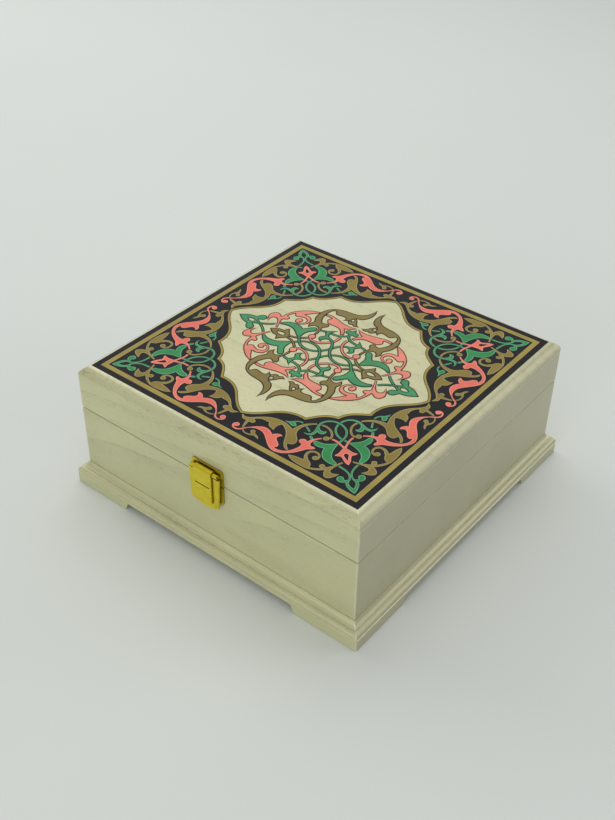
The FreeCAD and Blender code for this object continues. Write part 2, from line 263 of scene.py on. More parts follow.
def math_node(tree, operation, *values):
    """The result of one calculation with up to three values."""
    made = node(tree, "Math", {"operation": operation})
    for socket, value in zip(made.inputs, values):
        put(tree, socket, value)
    return made.outputs[0]


def ramp(tree, factor, low, high):
    """0 below low, 1 above high and a straight slope between them."""
    return node(tree, "MapRange", Value=factor, From_Min=low, From_Max=high).outputs["Result"]


def mix(tree, factor, first, second):
    """A colour between first and second; either is a screen colour or another node's output."""
    made = node(tree, "Mix", {"data_type": "RGBA"}, Factor=factor)
    for socket, value in ((made.inputs[6], first), (made.inputs[7], second)):
        put(tree, socket, value if isinstance(value, bpy.types.NodeSocket) else colour(value))
    return made.outputs[2]


def two_toned(tree, share, rgb, tones):
    """A screen colour that goes from one tone of itself to another."""
    return mix(tree, share, *[shade(rgb, tone) for tone in tones])


def layered(tree, base, layers):
    """The base colour with marks over it; each has a share from 0 to 1, a strength and a colour."""
    for share, strength, over in layers:
        base = mix(tree, math_node(tree, "MULTIPLY", share, strength), base, over)
    return base


def noise(tree, place, scale, detail=3.0, roughness=0.5):
    """Soft, cloudy values from 0 to 1."""
    made = node(tree, "TexNoise", Vector=place, Scale=scale, Detail=detail, Roughness=roughness)
    return made.outputs["Fac"]


def uneven(tree, texture, least, change):
    """A value that rises from the least with a texture."""
    return math_node(tree, "MULTIPLY_ADD", texture, change, least)


def object_place(tree):
    """Where a point lies in the frame while its piece is at rest."""
    return node(tree, "TexCoord").outputs["Object"]


def height_of(tree, place):
    """The height of a place above the floor."""
    return node(tree, "SeparateXYZ", Vector=place).outputs["Z"]


def by_axis(axis, along, across):
    """Three values: one for the grain's axis and another for the two axes across it."""
    return [along if letter == axis else across for letter in "XYZ"]


def grain(tree, axis, scales, detail, roughness=0.5):
    """Noise that is drawn out along one axis, as wood grain is."""
    place = node(tree, "Mapping", Vector=object_place(tree), Scale=by_axis(axis, *scales)).outputs["Vector"]
    return noise(tree, place, 1.0, detail, roughness)


def new_material(name):
    """A plain material, its node tree and its shader."""
    material = bpy.data.materials.new(name)
    material.use_nodes = True
    return material, material.node_tree, material.node_tree.nodes["Principled BSDF"]


def set_bump(tree, shader, height, distance):
    """Gives a finish fine relief as deep as the distance."""
    bump = node(tree, "Bump", Height=height, Distance=distance, Strength=1.0)
    put(tree, shader.inputs["Normal"], bump.outputs["Normal"])


def edge_share(tree, radius):
    """1 on a sharp edge, falling to 0 on the flat a radius away from it."""
    eased = node(tree, "Bevel", {"samples": 4}, Radius=radius).outputs["Normal"]
    flat = node(tree, "NewGeometry").outputs["Normal"]
    level = node(tree, "VectorMath", {"operation": "DOT_PRODUCT"})
    put(tree, level.inputs[0], eased)
    put(tree, level.inputs[1], flat)
    return ramp(tree, math_node(tree, "SUBTRACT", 1.0, level.outputs["Value"]), *EDGE_TURN)


def crease_share(tree, reach):
    """Where painted shade lies: 1 deep in a crease, falling to 0 where nothing stands within reach."""
    open_share = node(tree, "AmbientOcclusion", {"samples": 8}, Distance=reach).outputs["AO"]
    return ramp(tree, math_node(tree, "SUBTRACT", 1.0, open_share), *CREASE_DEPTH)


def side_share(tree):
    """1 on faces that look left or right, 0 on those that look forward, back, up or down; it places the
    painted shade on the sides.
    """
    facing = node(tree, "TexCoord").outputs["Normal"]
    sideways = math_node(tree, "ABSOLUTE", node(tree, "SeparateXYZ", Vector=facing).outputs["X"])
    return ramp(tree, sideways, *SIDE_TURN)


def seam_share(tree, height, side):
    """Where the painted shade by the seam lies: 1 on the sides beside the seam between body and lid, 0 away
    from it.
    """
    from_seam = math_node(tree, "ABSOLUTE", math_node(tree, "SUBTRACT", height, SEAM_HEIGHT))
    near_seam = math_node(tree, "SUBTRACT", 1.0, ramp(tree, from_seam, *SEAM_SHADE_REACH))
    return math_node(tree, "MULTIPLY", near_seam, side)


def worn_and_highlit_share(tree, place, height):
    """1 in patches along the edges, where the paint is worn pale and has a painted highlight, and round the
    rim of the lid's top, where a painted highlight lies.
    """
    below = math_node(tree, "SUBTRACT", LID_TOP, height)
    rim = math_node(tree, "SUBTRACT", ramp(tree, below, *RIM_HIGHLIGHT_START), ramp(tree, below, *RIM_HIGHLIGHT_END))
    exposed = math_node(tree, "MAXIMUM", edge_share(tree, EDGE_WEAR_AND_HIGHLIGHT), rim)
    return math_node(tree, "MULTIPLY", exposed, ramp(tree, noise(tree, place, PAINT_WEAR), *WORN_AND_HIGHLIT_PATCHES))


def figure_lines(tree, axis):
    """Growth rings about a heart beside the board, so that they cross its face as long arches."""
    shift = by_axis(axis, 0.0, FIGURE_ASIDE)
    shift[2] = FIGURE_UP
    tilt = by_axis(axis, 0.0, math.radians(FIGURE_TILT))
    moved = node(tree, "Mapping", Vector=object_place(tree), Location=shift, Rotation=tilt).outputs["Vector"]
    rings = node(tree, "TexWave", {"wave_type": "RINGS", "rings_direction": axis, "wave_profile": "SAW"},
                 Vector=moved, Scale=FIGURE_SCALE, Distortion=FIGURE_WAVER, Detail=2.0, Detail_Scale=0.35)
    return rings.outputs["Fac"]


def wood_marks(tree, axis):
    """Shares of the dark late wood, in streaky arches, and of the pores, which are thickest in it."""
    streaks = ramp(tree, grain(tree, axis, STREAK_GRAIN, detail=4.0, roughness=0.6), *LATE_STREAKS)
    dashes = ramp(tree, grain(tree, axis, PORE_GRAIN, detail=2.0, roughness=0.6), *PORE_DASHES)
    late = math_node(tree, "MULTIPLY", ramp(tree, figure_lines(tree, axis), *LATE_RINGS), streaks)
    pore = math_node(tree, "MULTIPLY", dashes, math_node(tree, "ADD", late, PORES_ELSEWHERE))
    return late, pore


def pearl_paint(name, axis, figure, pores, seam_shade):
    """Cream pearl paint, thin enough for the wood's figure and pores to show; painted shade makes it greyer
    on faces that look left or right and darker in creases and by the seam, with pale wear and a painted
    highlight on the edges and a painted highlight round the lid's top.
    """
    material, tree, shader = new_material(name)
    place = object_place(tree)
    height = height_of(tree, place)
    cloud = noise(tree, place, PAINT_CLOUD)
    clouded = ramp(tree, cloud, *CLOUDS)
    side = side_share(tree)
    late, pore = wood_marks(tree, axis)
    # rubbed carries pale wear on the edges and a painted highlight there and round the lid's top
    rubbed = worn_and_highlit_share(tree, place, height)
    # painted shade: faces that look left or right take the greyer paint
    plain = [two_toned(tree, clouded, rgb, PAINT_TONES) for rgb in (PAINT, PAINT_SHADED_SIDES)]
    painted = layered(tree, mix(tree, side, *plain), [
        (late, figure, shade(PAINT, LATE_TONE)),
        (pore, pores, PAINT_PORE),
        # painted shade in creases, such as the plinth's steps
        (crease_share(tree, PAINT_CREASE_SHADE_REACH), PAINT_CREASE_SHADE_STRENGTH, shade(PAINT, PAINT_CREASE_SHADE_TONE)),
        # pale wear with a painted highlight on the edges, and a painted highlight round the lid's top
        (rubbed, WORN_AND_HIGHLIT_STRENGTH, PAINT_WORN_AND_HIGHLIT),
        # painted shade beside the seam
        (seam_share(tree, height, side), seam_shade, SEAM_SHADE_BROWN),
    ])
    satin = uneven(tree, cloud, least=0.36, change=0.16)
    roughness = math_node(tree, "SUBTRACT", satin, math_node(tree, "MULTIPLY", rubbed, WORN_AND_HIGHLIT_POLISH))
    set_inputs(tree, shader, Base_Color=painted, Roughness=roughness, Metallic=0.35)
    set_inputs(tree, shader, Coat_Weight=0.3, Coat_Roughness=0.14)
    relief = math_node(tree, "SUBTRACT", math_node(tree, "MULTIPLY", late, LATE_RELIEF), pore)
    set_bump(tree, shader, relief, PAINT_RELIEF)
    return material


def bare_wood():
    """Unpainted wood with a straight, fine grain."""
    material, tree, shader = new_material("bare_wood")
    lines = grain(tree, "X", BARE_GRAIN, detail=5.0, roughness=0.6)
    streaked = two_toned(tree, ramp(tree, lines, *BARE_STREAKS), BARE_WOOD, BARE_TONES)
    set_inputs(tree, shader, Base_Color=streaked, Roughness=0.6)
    set_bump(tree, shader, lines, WOOD_RELIEF)
    return material


def metal(name, rgb, roughness, metallic):
    """Plated metal with fine rubbed lines, duller patches, and painted shade, dark brown and duller, in its
    creases.
    """
    material, tree, shader = new_material(name)
    rubbed = grain(tree, "Z", RUBBED_LINES, detail=2.0)
    patch = noise(tree, object_place(tree), METAL_PATCH)
    crease = crease_share(tree, METAL_CREASE_SHADE_REACH)
    patchy = two_toned(tree, ramp(tree, patch, *DULL_PATCHES), rgb, METAL_TONES)
    plated = layered(tree, patchy, [
        (ramp(tree, rubbed, *FINE_MARKS), LINE_STRENGTH, shade(rgb, LINE_TONE)),
        # painted shade in the creases
        (crease, METAL_CREASE_SHADE_STRENGTH, METAL_CREASE_SHADE_BROWN),
    ])
    satin = uneven(tree, patch, least=roughness, change=0.14)
    dulled = math_node(tree, "ADD", satin, math_node(tree, "MULTIPLY", crease, METAL_CREASE_DULLNESS))
    set_inputs(tree, shader, Base_Color=plated, Roughness=dulled, Metallic=metallic)
    set_bump(tree, shader, rubbed, METAL_RELIEF)
    return material


def ink(name, rgb):
    """Printed ink: a faint speckle, slow changes of tone and a dull shine."""
    material, tree, shader = new_material(name)
    place = object_place(tree)
    speckle = noise(tree, place, INK_SPECKLE, detail=2.0)
    cloud = noise(tree, place, INK_CLOUD)
    clouded = two_toned(tree, ramp(tree, cloud, *CLOUDS), rgb, INK_TONES)
    specks = (ramp(tree, speckle, *FINE_MARKS), SPECKLE_STRENGTH, shade(rgb, SPECKLE_TONE))
    printed = layered(tree, clouded, [specks])
    roughness = uneven(tree, cloud, least=0.30, change=0.15)
    set_inputs(tree, shader, Base_Color=printed, Roughness=roughness, Specular_IOR_Level=0.12)
    set_bump(tree, shader, speckle, INK_RELIEF)
    return material


def dress_cad_nodes():
    """Gives every CAD node its finish; a painted board's grain runs along its length."""
    along_x = pearl_paint("pearl_paint_along_x", "X", figure=0.55, pores=0.45, seam_shade=0.0)
    # boards with their grain along y are the sides, which take the painted shade beside the seam
    along_y = pearl_paint("pearl_paint_along_y", "Y", figure=0.25, pores=0.3, seam_shade=0.9)
    on_top = pearl_paint("pearl_paint_on_top", "X", figure=0.55, pores=0.75, seam_shade=0.0)
    by_slot = {"bare_wood": bare_wood()}
    for name, finish in METALS.items():
        by_slot[name] = metal(name, *finish)
    for name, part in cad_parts.items():
        if name == "lid_top_board":
            painted = on_top
        else:
            painted = along_y if "left" in name or "right" in name else along_x
        for place in part.material_slots:
            place.material = by_slot.get(place.material.name, painted)


def unit(first, second):
    """The direction from one point to another, and the distance."""
    across, along = second[0] - first[0], second[1] - first[1]
    length = math.hypot(across, along) or TINY
    return (across / length, along / length), length


def tangents(run, closed):
    """The direction of a smooth curve at each of its points."""
    count = len(run)
    made = []
    for i in range(count):
        if not closed and i in (0, count - 1):
            made.append(None)
            continue
        before, short = unit(run[i - 1], run[i])
        after, long = unit(run[i], run[(i + 1) % count])
        blend = (before[0] * long + after[0] * short, before[1] * long + after[1] * short)
        made.append(unit((0, 0), blend)[0])
    if closed:
        return made
    for end, near, chord in ((0, 1, run[:2]), (count - 1, count - 2, run[-2:])):
        straight = unit(*chord)[0]
        beside = made[near] or straight
        share = 2 * (straight[0] * beside[0] + straight[1] * beside[1])
        made[end] = (share * straight[0] - beside[0], share * straight[1] - beside[1])
    return made


def smooth_run(run, closed=False):
    """Close points on a curve through the given ones; values after x and y change evenly."""
    ways = tangents(run, closed)
    count = len(run)
    made = []
    for i in range(count if closed else count - 1):
        near, far = run[i], run[(i + 1) % count]
        leave, arrive = ways[i], ways[(i + 1) % count]
        length = unit(near, far)[1]
        steps = max(2, math.ceil(length / CURVE_STEP))
        for step in range(steps):
            t = step / steps
            weights = (2*t**3 - 3*t**2 + 1, length * (t**3 - 2*t**2 + t),
                       3*t**2 - 2*t**3, length * (t**3 - t**2))
            place = [sum(w * p[k] for w, p in zip(weights, (near, leave, far, arrive))) for k in (0, 1)]
            rest = [a + t * (b - a) for a, b in zip(near[2:], far[2:])]
            made.append((*place, *rest))
    if not closed:
        made.append(tuple(run[-1]))
    return made


def smooth_outline(points):
    """Close points round a closed outline that turns sharply only at its tips."""
    tips = [i for i, point in enumerate(points) if len(point) == 3]
    flat = [point[:2] for point in points]
    count = len(points)
    if not tips:
        return smooth_run(flat, True)
    made = []
    for first, last in zip(tips, tips[1:] + [tips[0] + count]):
        made += smooth_run([flat[i % count] for i in range(first, last + 1)])[:-1]
    return made


def turned(loop, left):
    """The loop as an array that runs anticlockwise if left, or else clockwise."""
    loop = np.array(loop, float)
    ahead = np.roll(loop, -1, axis=0)
    area = np.sum(loop[:, 0] * ahead[:, 1] - loop[:, 1] * ahead[:, 0])
    return loop if (area > 0) == left else loop[::-1]


def inward(loop):
    """Unit directions into the shape, which lies to the left of its loops."""
    ahead = np.roll(loop, -1, axis=0) - np.roll(loop, 1, axis=0)
    ahead /= np.maximum(np.linalg.norm(ahead, axis=1), TINY)[:, None]
    return np.stack((-ahead[:, 1], ahead[:, 0]), axis=1)


def cross(first, second):
    """Cross products of directions in the plane."""
    return first[..., 0] * second[..., 1] - first[..., 1] * second[..., 0]


def room_ahead(loop, ways, starts, sides):
    """How far each point can go inward before it meets the shape's edge again."""
    apart = starts[None] - loop[:, None]
    lean = cross(ways[:, None], sides[None])
    lean = np.where(np.abs(lean) < TINY, TINY, lean)
    far = cross(apart, sides[None]) / lean
    along = cross(apart, ways[:, None]) / lean
    met = (far > JUST_AHEAD) & (along >= 0) & (along <= 1)
    return np.where(met, far, FAR_AWAY).min(axis=1)


def edge_distance(points, starts, sides):
    """How far each point is from the nearest of the shape's sides."""
    apart = points[:, None] - starts[None]
    length = np.maximum((sides**2).sum(axis=1), TINY)
    along = np.clip((apart * sides[None]).sum(axis=2) / length, 0, 1)
    return np.linalg.norm(apart - along[..., None] * sides[None], axis=2).min(axis=1)


def inset(loops, depth):
    """The shape drawn in from its edge all round, and by less where it is thin."""
    starts = np.concatenate(loops)
    sides = np.concatenate([np.roll(loop, -1, axis=0) - loop for loop in loops])
    made = []
    for loop in loops:
        ways = inward(loop)
        step = np.minimum(depth, THIN_SHARE * room_ahead(loop, ways, starts, sides))
        moved = loop + ways * step[:, None]
        made.append(moved[edge_distance(moved, starts, sides) > KEPT_SHARE * step])
    return made


class InkSheet:
    """The mesh of one ink, gathered motif by motif."""

    def __init__(self):
        self.points = []
        self.faces = []

    def add(self, points, faces, way=(1, 1, False)):
        """Adds one copy of a shape, turned over as its way says."""
        right, back, swap = way
        first = len(self.points)
        for x, y, z in points:
            self.points.append((right * y, back * x, z) if swap else (right * x, back * y, z))
        for face in faces:
            self.faces.append([first + i for i in (face[::-1] if is_mirror(way) else face)])

    def piece(self, name, slot, material):
        """The ink as a piece on the lid."""
        mesh = bpy.data.meshes.new(name)
        mesh.from_pydata([(x * MM, y * MM, LID_TOP + z * MM) for x, y, z in self.points], [], self.faces)
        mesh.update()
        mesh.materials.append(material)
        made = bpy.data.objects.new(name, mesh)
        bpy.context.scene.collection.objects.link(made)
        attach(made, "lid")


def is_mirror(way):
    """Whether a copy is a mirror image of its motif."""
    right, back, swap = way
    return (right * back < 0) != swap


def plate(loops, top):
    """Points and faces of a closed flat plate; the first loop is its outside, the others are holes."""
    flat = [tuple(point) for loop in loops for point in loop]
    count = len(flat)
    points = [(x, y, INK_ROOT) for x, y in flat] + [(x, y, top) for x, y in flat]
    faces = []
    for a, b, c in tessellate_polygon([[Vector((x, y, 0)) for x, y in loop] for loop in loops]):
        turn = cross(np.subtract(flat[b], flat[a]), np.subtract(flat[c], flat[a]))
        if turn < 0:
            b, c = c, b
        faces += [(a + count, b + count, c + count), (c, b, a)]
    first = 0
    for loop in loops:
        for i in range(len(loop)):
            here, ahead = first + i, first + (i + 1) % len(loop)
            faces.append((here, ahead, ahead + count, here + count))
        first += len(loop)
    return points, faces


def vine_sections(line, narrower):
    """Where a strand lies: middle, direction along it, half width and lift, with rounded ends."""
    dense = smooth_run([point if len(point) == 4 else (*point, 0.0) for point in line])
    made = []
    for i, (x, y, width, lift) in enumerate(dense):
        (along_x, along_y), _ = unit(dense[max(0, i - 1)], dense[min(len(dense) - 1, i + 1)])
        half = width / 2 - min(narrower, THIN_SHARE * width)
        made.append((x, y, along_x, along_y, half, lift))
    for at_start in (True, False):
        x, y, along_x, along_y, half, lift = made[0] if at_start else made[-1]
        way = -1 if at_start else 1
        for angle in END_ANGLES:
            beyond = way * END_ROUNDNESS * half * math.sin(angle)
            place = (x + beyond * along_x, y + beyond * along_y)
            section = (*place, along_x, along_y, half * math.cos(angle), lift)
            made.insert(0 if at_start else len(made), section)
    return made


def ribbon(sections, top, lifted):
    """Points and faces of a closed strip along a strand's sections."""
    points = []
    for x, y, along_x, along_y, half, lift in sections:
        height = top + (LEVEL_RISE * lift if lifted else 0.0)
        for side, level in ((1, INK_ROOT), (1, height), (-1, height), (-1, INK_ROOT)):
            points.append((x - side * half * along_y, y + side * half * along_x, level))
    faces = [(3, 2, 1, 0)]
    for i in range(0, len(points) - 4, 4):
        for k in range(4):
            ahead = (k + 1) % 4
            faces.append((i + k, i + ahead, i + 4 + ahead, i + 4 + k))
    last = len(points) - 4
    faces.append((last, last + 1, last + 2, last + 3))
    return points, faces


def tip(x, y):
    """A point where an outline turns sharply."""
    return (x, y, "tip")


def leaf(ink_name, *points, hole=None, level=0.0, lift=0.0):
    """A closed shape; the lift raises it in the copies that are mirror images."""
    return {"ink": ink_name, "outline": points, "hole": hole, "level": level, "lift": lift}


def vine(ink_name, *points, level=0.0):
    """A strand through points of x, y and width, and a lift where it is laced with another."""
    return {"ink": ink_name, "line": points, "level": level}


def ball(ink_name, x, y, radius):
    """A round bead."""
    angles = [i * SIXTH_TURN for i in range(6)]
    return leaf(ink_name, *[(x + radius * math.cos(a), y + radius * math.sin(a)) for a in angles])


def in_diagonal(x, y):
    """A place mirrored in the lid's diagonal."""
    return y, x


def front_to_back(x, y):
    """A place mirrored in the line from left to right."""
    return x, -y


def right_to_left(x, y):
    """A place mirrored in the line from front to back."""
    return -x, y


def mirrored(points, mirror):
    """The points in reverse order, each at its mirrored place."""
    return [(*mirror(*point[:2]), *point[2:]) for point in reversed(points)]


def both_halves(half, mirror):
    """A whole outline from the half of it that starts and ends on the mirror's line."""
    return half + mirrored(half[1:-1], mirror)


# The medallion's edge from the top of the lid to the diagonal, one eighth of the way round
MEDALLION_EIGHTH = [
    tip(0, 89.0), (5, 86.4), (10, 82.3), (15, 77.0), (20, 72.4), (25, 69.4), (30, 67.9), (33.5, 67.5),
    tip(37.0, 67.6), (39.2, 64.4), (42.0, 60.6), (45.4, 57.0), (49.2, 54.6), tip(53.2, 53.2),
]

# The border's motifs, one eighth of the way round, in millimetres from the lid's middle
BORDER = [
    # pink S-scroll with a drooping leaf, and its curled tail
    leaf("pink", (12.1, 103.0), (14.6, 100.1), (17.5, 98.0), (20.8, 97.2), (24.2, 97.4), (27.5, 99.0),
         (31.2, 101.8), (35.4, 105.1), (38.8, 107.0), (42.1, 107.8), (45.8, 107.1), (49.6, 105.0),
         (52.5, 102.2), (55.0, 98.8), (57.0, 95.1), (58.4, 92.6), (60.0, 91.4), tip(61.9, 89.0),
         (60.4, 88.2), (58.4, 88.7), (56.8, 87.6), (56.2, 85.1), (56.9, 81.8), tip(59.3, 78.4),
         tip(58.3, 77.8), (56.1, 80.5), (54.3, 83.4), tip(53.6, 86.3), (52.5, 86.0), (50.8, 85.6),
         (49.2, 86.7), (48.5, 88.4), (49.9, 90.2), tip(52.3, 90.6), (52.7, 93.4), (51.9, 97.2),
         (50.4, 100.5), (47.9, 103.3), (45.0, 104.7), (42.0, 105.0), tip(40.0, 104.6), (41.6, 103.2),
         (41.4, 101.3), (39.4, 99.4), (37.0, 97.8), (35.7, 95.9), (36.2, 94.0), tip(37.6, 92.6),
         (36.2, 91.9), (34.2, 92.3), (32.5, 93.5), tip(31.0, 95.4), (29.0, 94.0), (26.0, 92.7),
         (22.8, 92.7), (20.0, 93.9), (17.4, 96.0), (14.8, 98.7), tip(12.0, 102.1)),
    vine("pink", (12.3, 102.3, 1.1), (10.9, 104.6, 1.2), (8.8, 105.8, 1.2), (6.4, 105.6, 1.2),
         (4.6, 104.1, 1.2), (4.4, 102.0, 1.2)),
    ball("pink", 6.2, 102.1, 2.0),
    # gold sprig behind the scroll's tail, and the stalk that carries it
    vine("gold", (12.9, 103.8, 0.9), (14.6, 104.9, 1.0), (17.2, 105.4, 1.0), (19.4, 105.0, 1.2),
         (21.2, 104.0, 1.6)),
    leaf("gold", (20.4, 105.0), (22.0, 104.3), (23.6, 104.2), (25.2, 104.7), tip(27.2, 105.3),
         (26.2, 103.7), (24.6, 102.7), (22.8, 102.1), (21.5, 101.5), (21.1, 100.4), (20.1, 99.5),
         (18.9, 99.4), (17.9, 100.2), (17.7, 101.4), (18.6, 102.4), (19.6, 103.2)),
    vine("gold", (11.1, 101.6, 1.2), (10.4, 99.3, 1.6), (9.8, 97.0, 1.9), (9.3, 94.6, 2.4)),
    leaf("gold", tip(1.6, 91.4), (2.9, 93.1), (4.6, 94.6), (6.3, 95.0), (7.8, 94.6), (9.3, 94.9),
         (10.8, 94.6), (12.4, 94.8), (13.7, 93.9), (14.0, 92.4), (13.1, 91.4), tip(11.6, 91.0),
         (11.4, 90.2), tip(9.8, 89.4), (8.4, 90.6), (6.7, 91.7), (4.8, 92.1), (3.0, 91.6)),
    # gold half-palmette that swings round to the medallion's corner
    leaf("gold", tip(9.8, 89.6), tip(11.4, 90.4), (12.9, 88.8), (15.0, 87.5), (17.6, 87.0), (19.8, 87.1),
         tip(21.4, 86.6), (22.2, 88.2), (24.0, 90.0), (26.2, 90.7), tip(29.2, 91.3), (28.1, 89.2),
         (28.0, 87.0), (28.5, 85.0), tip(29.6, 83.2), (33.0, 84.9), (36.6, 88.0), (39.4, 92.0),
         (41.6, 96.0), (44.2, 99.4), (46.6, 101.2), tip(48.7, 101.5), tip(49.0, 100.4), (47.2, 99.3),
         (45.3, 97.4), tip(44.6, 96.0), (46.6, 95.6), (48.3, 94.3), (48.6, 92.2), (47.6, 89.6),
         (45.4, 87.2), (43.2, 85.0), (41.9, 82.4), (41.6, 79.4), (41.9, 76.4), (43.2, 73.4), (45.2, 70.6),
         tip(47.7, 68.5), tip(46.6, 67.7), (43.4, 70.4), (41.0, 73.0), (39.4, 76.0), (38.4, 79.0),
         tip(38.0, 82.4), (35.4, 81.7), (32.0, 80.6), (28.0, 80.2), (24.0, 80.5), (20.0, 81.7),
         (16.0, 83.9), (12.6, 86.7)),
    # the palmette's stem goes on under the green strand to a bead
    vine("gold", (50.4, 67.0, 1.5), (53.6, 66.5, 1.5), (57.2, 67.3, 1.5), (60.4, 69.4, 1.5),
         (62.6, 72.2, 1.5), (63.0, 74.8, 1.6)),
    ball("gold", 61.1, 76.2, 2.1),
    # gold scroll under the frame: a spray, a hooked leaf, a bead, and a leaf that ends in a spiral
    vine("gold", (84.0, 88.9, 1.2), (83.3, 91.0, 1.3), (82.6, 93.4, 1.5), (81.6, 96.2, 1.9),
         (80.2, 98.9, 2.3), (78.2, 101.6, 2.1), (75.4, 104.1, 1.8), (72.4, 105.8, 1.7), (69.4, 106.9, 1.7),
         (66.0, 107.4, 1.2)),
    leaf("gold", (82.4, 96.6), (82.6, 99.2), (83.4, 100.7), (84.9, 101.2), (86.4, 100.8), (87.6, 100.1),
         tip(89.3, 99.0), (88.9, 101.2), (88.0, 103.5), (86.7, 105.6), (85.0, 106.9), (83.3, 106.9),
         (81.7, 105.6), (80.5, 103.8), (79.7, 101.4), (80.4, 98.4)),
    leaf("gold", (79.2, 100.9), (77.8, 101.2), (76.4, 101.6), (74.9, 101.2), (74.2, 99.8), (74.8, 98.3),
         (76.2, 97.8), (77.6, 98.6), (79.0, 99.2)),
    leaf("gold", tip(52.3, 104.5), (54.3, 105.9), (56.8, 107.0), (59.6, 107.6), (63.0, 107.9),
         (66.4, 107.9), (69.4, 107.3), tip(71.2, 106.1), tip(70.3, 105.2), (69.8, 103.6), (68.8, 102.3),
         (67.2, 101.3), (65.2, 100.2), (63.4, 98.5), tip(61.6, 99.2), (62.0, 100.6), tip(62.9, 101.9),
         (61.2, 102.2), (58.8, 102.5), (56.4, 103.0), (54.2, 103.7)),
    vine("gold", (63.4, 100.4, 2.2), (61.7, 98.2, 2.1), (61.0, 95.6, 1.9), (61.5, 93.2, 1.7),
         (63.2, 91.8, 1.6), (65.4, 91.4, 1.5), (67.8, 92.2, 1.5), (69.3, 94.2, 1.5), (69.3, 96.4, 1.5)),
    ball("gold", 67.8, 96.2, 2.0),
    # green leaf on a broken strand that runs under the gold stem to the big half-palmette
    leaf("green", tip(28.4, 78.5), (30.2, 79.1), (32.2, 79.0), (33.8, 79.7), (35.5, 80.1), (36.9, 79.4),
         (37.3, 78.0), (36.5, 76.9), tip(35.0, 76.3), (34.9, 75.5), (36.2, 74.2), (38.2, 73.7),
         tip(39.5, 73.7), tip(39.2, 72.7), (37.4, 72.7), (35.4, 73.4), (33.8, 74.9), (32.4, 76.6),
         (30.6, 77.8)),
    vine("green", (43.4, 74.8, 1.2), (45.8, 76.0, 1.3), (48.2, 77.4, 1.3)),
    vine("green", (51.7, 80.9, 1.7), (53.2, 81.8, 1.8), (54.4, 82.5, 1.8)),
    leaf("green", (81.6, 93.8), (79.6, 94.5), (76.8, 94.7), (73.8, 94.2), (71.0, 92.9), (68.6, 90.7),
         (67.0, 88.0), tip(66.2, 85.0), (64.0, 85.8), (61.8, 86.3), (59.6, 86.1), (57.6, 85.2),
         (56.8, 83.7), (57.8, 82.3), (60.0, 82.0), (62.6, 81.4), (65.4, 79.9), (67.8, 77.8),
         tip(69.6, 75.9), tip(70.9, 75.9), (71.1, 78.0), (71.6, 80.6), (72.4, 83.4), (73.8, 86.4),
         (75.8, 88.9), (78.4, 90.6), (81.3, 91.6), (82.0, 92.7)),
    # green strand: a loop across the diagonal, then up to a curled leaf
    vine("green", (70.3, 74.0, 1.4, 0.0), (70.3, 72.0, 1.4, 1.0), (70.2, 68.4, 1.4, 1.0),
         (69.2, 65.2, 1.4, 0.5), (67.2, 62.2, 1.4, 0.5), (64.4, 59.9, 1.4, 0.5), (61.4, 58.7, 1.4, 1.0),
         (58.2, 58.3, 1.4, 1.0), (54.8, 58.8, 1.4, 1.0), (51.6, 60.5, 1.4, 0.0), (49.5, 63.2, 1.5),
         (48.7, 66.4, 1.6), (49.4, 69.6, 1.7), (50.6, 72.8, 1.9), (51.4, 76.0, 2.1), (50.8, 78.8, 2.0),
         (48.8, 80.3, 1.3), (45.8, 80.4, 0.3)),
    leaf("green", (50.9, 73.6), (51.8, 73.8), (52.9, 74.7), (54.6, 75.0), (56.3, 74.3), (57.3, 72.6),
         (57.2, 71.0), tip(56.4, 70.2), (55.8, 71.4), (54.2, 71.9), (52.4, 71.4), (50.4, 70.6)),
    # green strand from the corner trefoil to the big half-palmette
    vine("green", (97.5, 100.2, 1.3), (96.6, 97.9, 1.2), (94.6, 95.6, 1.2), (91.4, 93.9, 1.2),
         (88.0, 93.2, 1.3), (84.5, 93.0, 1.4)),
    # pink stems of the bud
    vine("pink", (76.9, 77.0, 1.6), (74.8, 76.1, 1.5), (72.4, 75.4, 1.4), (69.8, 74.6, 1.4),
         (67.2, 74.2, 1.4), (64.8, 74.4, 1.4)),
]

# Halves of the motifs that stand on the diagonal, from the tip to the base
BUD_HALF = [tip(88.3, 88.3), (86.6, 88.1), (84.5, 87.3), (82.3, 86.0), (80.8, 85.0), (79.5, 84.7),
            (78.3, 85.2), (77.1, 86.0), tip(75.5, 86.1), (76.1, 84.5), (76.4, 82.6), (76.2, 80.6),
            (75.9, 78.6), (76.0, 77.2), (76.6, 76.6)]
BUD_HOLE_HALF = [(80.2, 80.2), (79.9, 81.4), (80.3, 82.6), (81.8, 83.5), (83.6, 84.6), tip(85.5, 85.5)]
TREFOIL_HALF = [tip(107.4, 107.4), (104.4, 107.0), (101.0, 105.9), (98.2, 104.2), tip(96.9, 102.6),
                (96.0, 103.5), (94.6, 104.4), (92.8, 104.7), (91.0, 104.0), (90.0, 102.5), (90.2, 101.0),
                (91.2, 99.9), (92.6, 99.6), tip(93.9, 100.2), (94.3, 101.0), (95.2, 101.2), (96.1, 100.6),
                (96.6, 99.6), tip(96.8, 98.6), tip(97.9, 98.4), (98.1, 100.2), (98.6, 101.6),
                (100.0, 102.8), (101.9, 103.8), tip(104.2, 104.2)]

